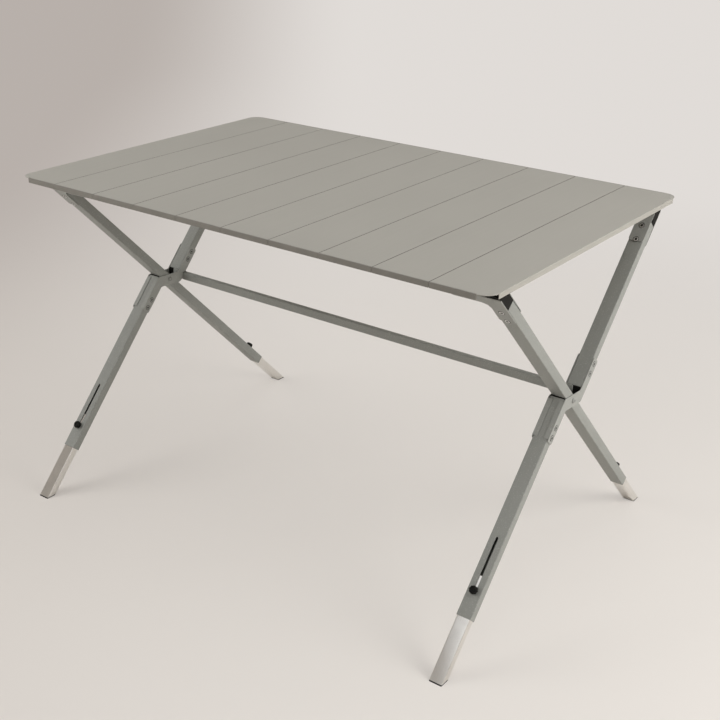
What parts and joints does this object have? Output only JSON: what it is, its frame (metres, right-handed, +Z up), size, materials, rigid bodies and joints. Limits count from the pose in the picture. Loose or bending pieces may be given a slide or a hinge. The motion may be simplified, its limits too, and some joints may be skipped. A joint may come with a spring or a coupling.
{
  "type": "folding camping table",
  "caption": "Camping table with a roll-up slatted top on a crossed folding frame, with adjustable feet clamped by knobs.",
  "frame": {"origin": "on the floor, in the middle of the space that the open table takes", "axes": "+X along the table's length, to the right in the picture; +Y across it, from the near side to the far one; +Z up"},
  "size_m": [1.0906, 0.8248, 0.709],
  "materials": {
    "top_paint": "satin grey-beige coating",
    "frame_paint": "satin grey coating",
    "plate_steel": "satin grey paint",
    "black_plastic": "matte moulded",
    "black_rubber": "matte",
    "bright_metal": "polished",
    "rivet_steel": "bright"
  },
  "bodies": {
    "frame_a": {"rail_near": "frame_paint", "rail_pad_near": "black_rubber", "leg_a_left": "frame_paint", "leg_a_right": "frame_paint", "corner_block_near_left": "black_plastic", "corner_block_near_right": "black_plastic", "corner_plate_near_left": "plate_steel", "corner_plate_near_right": "plate_steel", "corner_strap_near_left": "plate_steel", "corner_strap_near_right": "plate_steel"},
    "frame_b": {"rail_far": "frame_paint", "rail_pad_far": "black_rubber", "leg_b_upper_left": "frame_paint", "leg_b_upper_right": "frame_paint", "leg_b_lower_left": "frame_paint", "leg_b_lower_right": "frame_paint", "corner_block_far_left": "black_plastic", "corner_block_far_right": "black_plastic", "corner_plate_far_left": "plate_steel", "corner_plate_far_right": "plate_steel", "corner_strap_far_left": "plate_steel", "corner_strap_far_right": "plate_steel", "hub_plate_outer_left": "plate_steel", "hub_plate_outer_right": "plate_steel", "hub_plate_inner_left": "plate_steel", "hub_plate_inner_right": "plate_steel", "hub_plug_upper_left": "black_plastic", "hub_plug_upper_right": "black_plastic", "hub_plug_lower_left": "black_plastic", "hub_plug_lower_right": "black_plastic", "hub_pivot_left": "rivet_steel", "hub_pivot_right": "rivet_steel", "crossbar": "frame_paint"},
    "top_slat_01": {"slat_01": "top_paint", "corner_cap_near_left": "black_plastic", "corner_cap_far_left": "black_plastic"},
    "top_slat_02": {"slat_02": "top_paint"},
    "top_slat_03": {"slat_03": "top_paint"},
    "top_slat_04": {"slat_04": "top_paint"},
    "top_slat_05": {"slat_05": "top_paint"},
    "top_slat_06": {"slat_06": "top_paint"},
    "top_slat_07": {"slat_07": "top_paint"},
    "top_slat_08": {"slat_08": "top_paint"},
    "top_slat_09": {"slat_09": "top_paint"},
    "top_slat_10": {"slat_10": "top_paint", "corner_cap_near_right": "black_plastic", "corner_cap_far_right": "black_plastic"},
    "inner_leg_far_left": {"foot_far_left": "bright_metal", "foot_plug_far_left": "black_plastic"},
    "inner_leg_far_right": {"foot_far_right": "bright_metal", "foot_plug_far_right": "black_plastic"},
    "inner_leg_near_left": {"foot_near_left": "bright_metal", "foot_plug_near_left": "black_plastic"},
    "inner_leg_near_right": {"foot_near_right": "bright_metal", "foot_plug_near_right": "black_plastic"},
    "clamp_far_left": {"knob_far_left": "black_plastic"},
    "clamp_far_right": {"knob_far_right": "black_plastic"},
    "clamp_near_left": {"knob_near_left": "black_plastic"},
    "clamp_near_right": {"knob_near_right": "black_plastic"}
  },
  "joints": [
    {"name": "frame_fold", "type": "hinge", "parent": "frame_a", "child": "frame_b", "pos_m": [0.0058, -0.00332, 0.401], "axis": [1, 0, 0], "range_deg": [0, 86]},
    {"name": "top_tilt", "type": "hinge", "parent": "frame_a", "child": "top_slat_01", "pos_m": [0, -0.31032, 0.699], "axis": [1, 0, 0], "range_deg": [0, 43]},
    {"name": "slat_hinge_1", "type": "hinge", "parent": "top_slat_01", "child": "top_slat_02", "pos_m": [-0.4427, 0.00628, 0.709], "axis": [0, -1, 0], "range_deg": [0, 56]},
    {"name": "slat_hinge_2", "type": "hinge", "parent": "top_slat_02", "child": "top_slat_03", "pos_m": [-0.3332, 0.00628, 0.709], "axis": [0, -1, 0], "range_deg": [0, 56]},
    {"name": "slat_hinge_3", "type": "hinge", "parent": "top_slat_03", "child": "top_slat_04", "pos_m": [-0.2237, 0.00628, 0.709], "axis": [0, -1, 0], "range_deg": [0, 56]},
    {"name": "slat_hinge_4", "type": "hinge", "parent": "top_slat_04", "child": "top_slat_05", "pos_m": [-0.1142, 0.00628, 0.709], "axis": [0, -1, 0], "range_deg": [0, 56]},
    {"name": "slat_hinge_5", "type": "hinge", "parent": "top_slat_05", "child": "top_slat_06", "pos_m": [-0.0047, 0.00628, 0.709], "axis": [0, -1, 0], "range_deg": [0, 70]},
    {"name": "slat_hinge_6", "type": "hinge", "parent": "top_slat_06", "child": "top_slat_07", "pos_m": [0.1048, 0.00628, 0.709], "axis": [0, -1, 0], "range_deg": [0, 70]},
    {"name": "slat_hinge_7", "type": "hinge", "parent": "top_slat_07", "child": "top_slat_08", "pos_m": [0.2143, 0.00628, 0.709], "axis": [0, -1, 0], "range_deg": [0, 70]},
    {"name": "slat_hinge_8", "type": "hinge", "parent": "top_slat_08", "child": "top_slat_09", "pos_m": [0.3238, 0.00628, 0.709], "axis": [0, -1, 0], "range_deg": [0, 90]},
    {"name": "slat_hinge_9", "type": "hinge", "parent": "top_slat_09", "child": "top_slat_10", "pos_m": [0.4333, 0.00628, 0.709], "axis": [0, -1, 0], "range_deg": [0, 90]},
    {"name": "foot_slide_far_left", "type": "slide", "parent": "frame_a", "child": "inner_leg_far_left", "axis": [0, -0.7096, 0.7046], "range_m": [0, 0.095]},
    {"name": "foot_slide_far_right", "type": "slide", "parent": "frame_a", "child": "inner_leg_far_right", "axis": [0, -0.7096, 0.7046], "range_m": [0, 0.095]},
    {"name": "foot_slide_near_left", "type": "slide", "parent": "frame_b", "child": "inner_leg_near_left", "axis": [0, 0.6743, 0.7385], "range_m": [0, 0.095]},
    {"name": "foot_slide_near_right", "type": "slide", "parent": "frame_b", "child": "inner_leg_near_right", "axis": [0, 0.6743, 0.7385], "range_m": [0, 0.095]},
    {"name": "knob_turn_far_left", "type": "hinge", "parent": "inner_leg_far_left", "child": "clamp_far_left", "pos_m": [-0.5107, 0.28401, 0.12976], "axis": [0, 0.7046, 0.7096], "range_deg": [0, 360]},
    {"name": "knob_turn_far_right", "type": "hinge", "parent": "inner_leg_far_right", "child": "clamp_far_right", "pos_m": [0.5223, 0.28401, 0.12976], "axis": [0, 0.7046, 0.7096], "range_deg": [0, 360]},
    {"name": "knob_turn_near_left", "type": "hinge", "parent": "inner_leg_near_left", "child": "clamp_near_left", "pos_m": [-0.5107, -0.29426, 0.13176], "axis": [0, -0.7385, 0.6743], "range_deg": [0, 360]},
    {"name": "knob_turn_near_right", "type": "hinge", "parent": "inner_leg_near_right", "child": "clamp_near_right", "pos_m": [0.5223, -0.29426, 0.13176], "axis": [0, -0.7385, 0.6743], "range_deg": [0, 360]}
  ],
  "couplings": [
    {"joint": "top_tilt", "follows": "frame_fold", "ratio": 0.5}
  ]
}
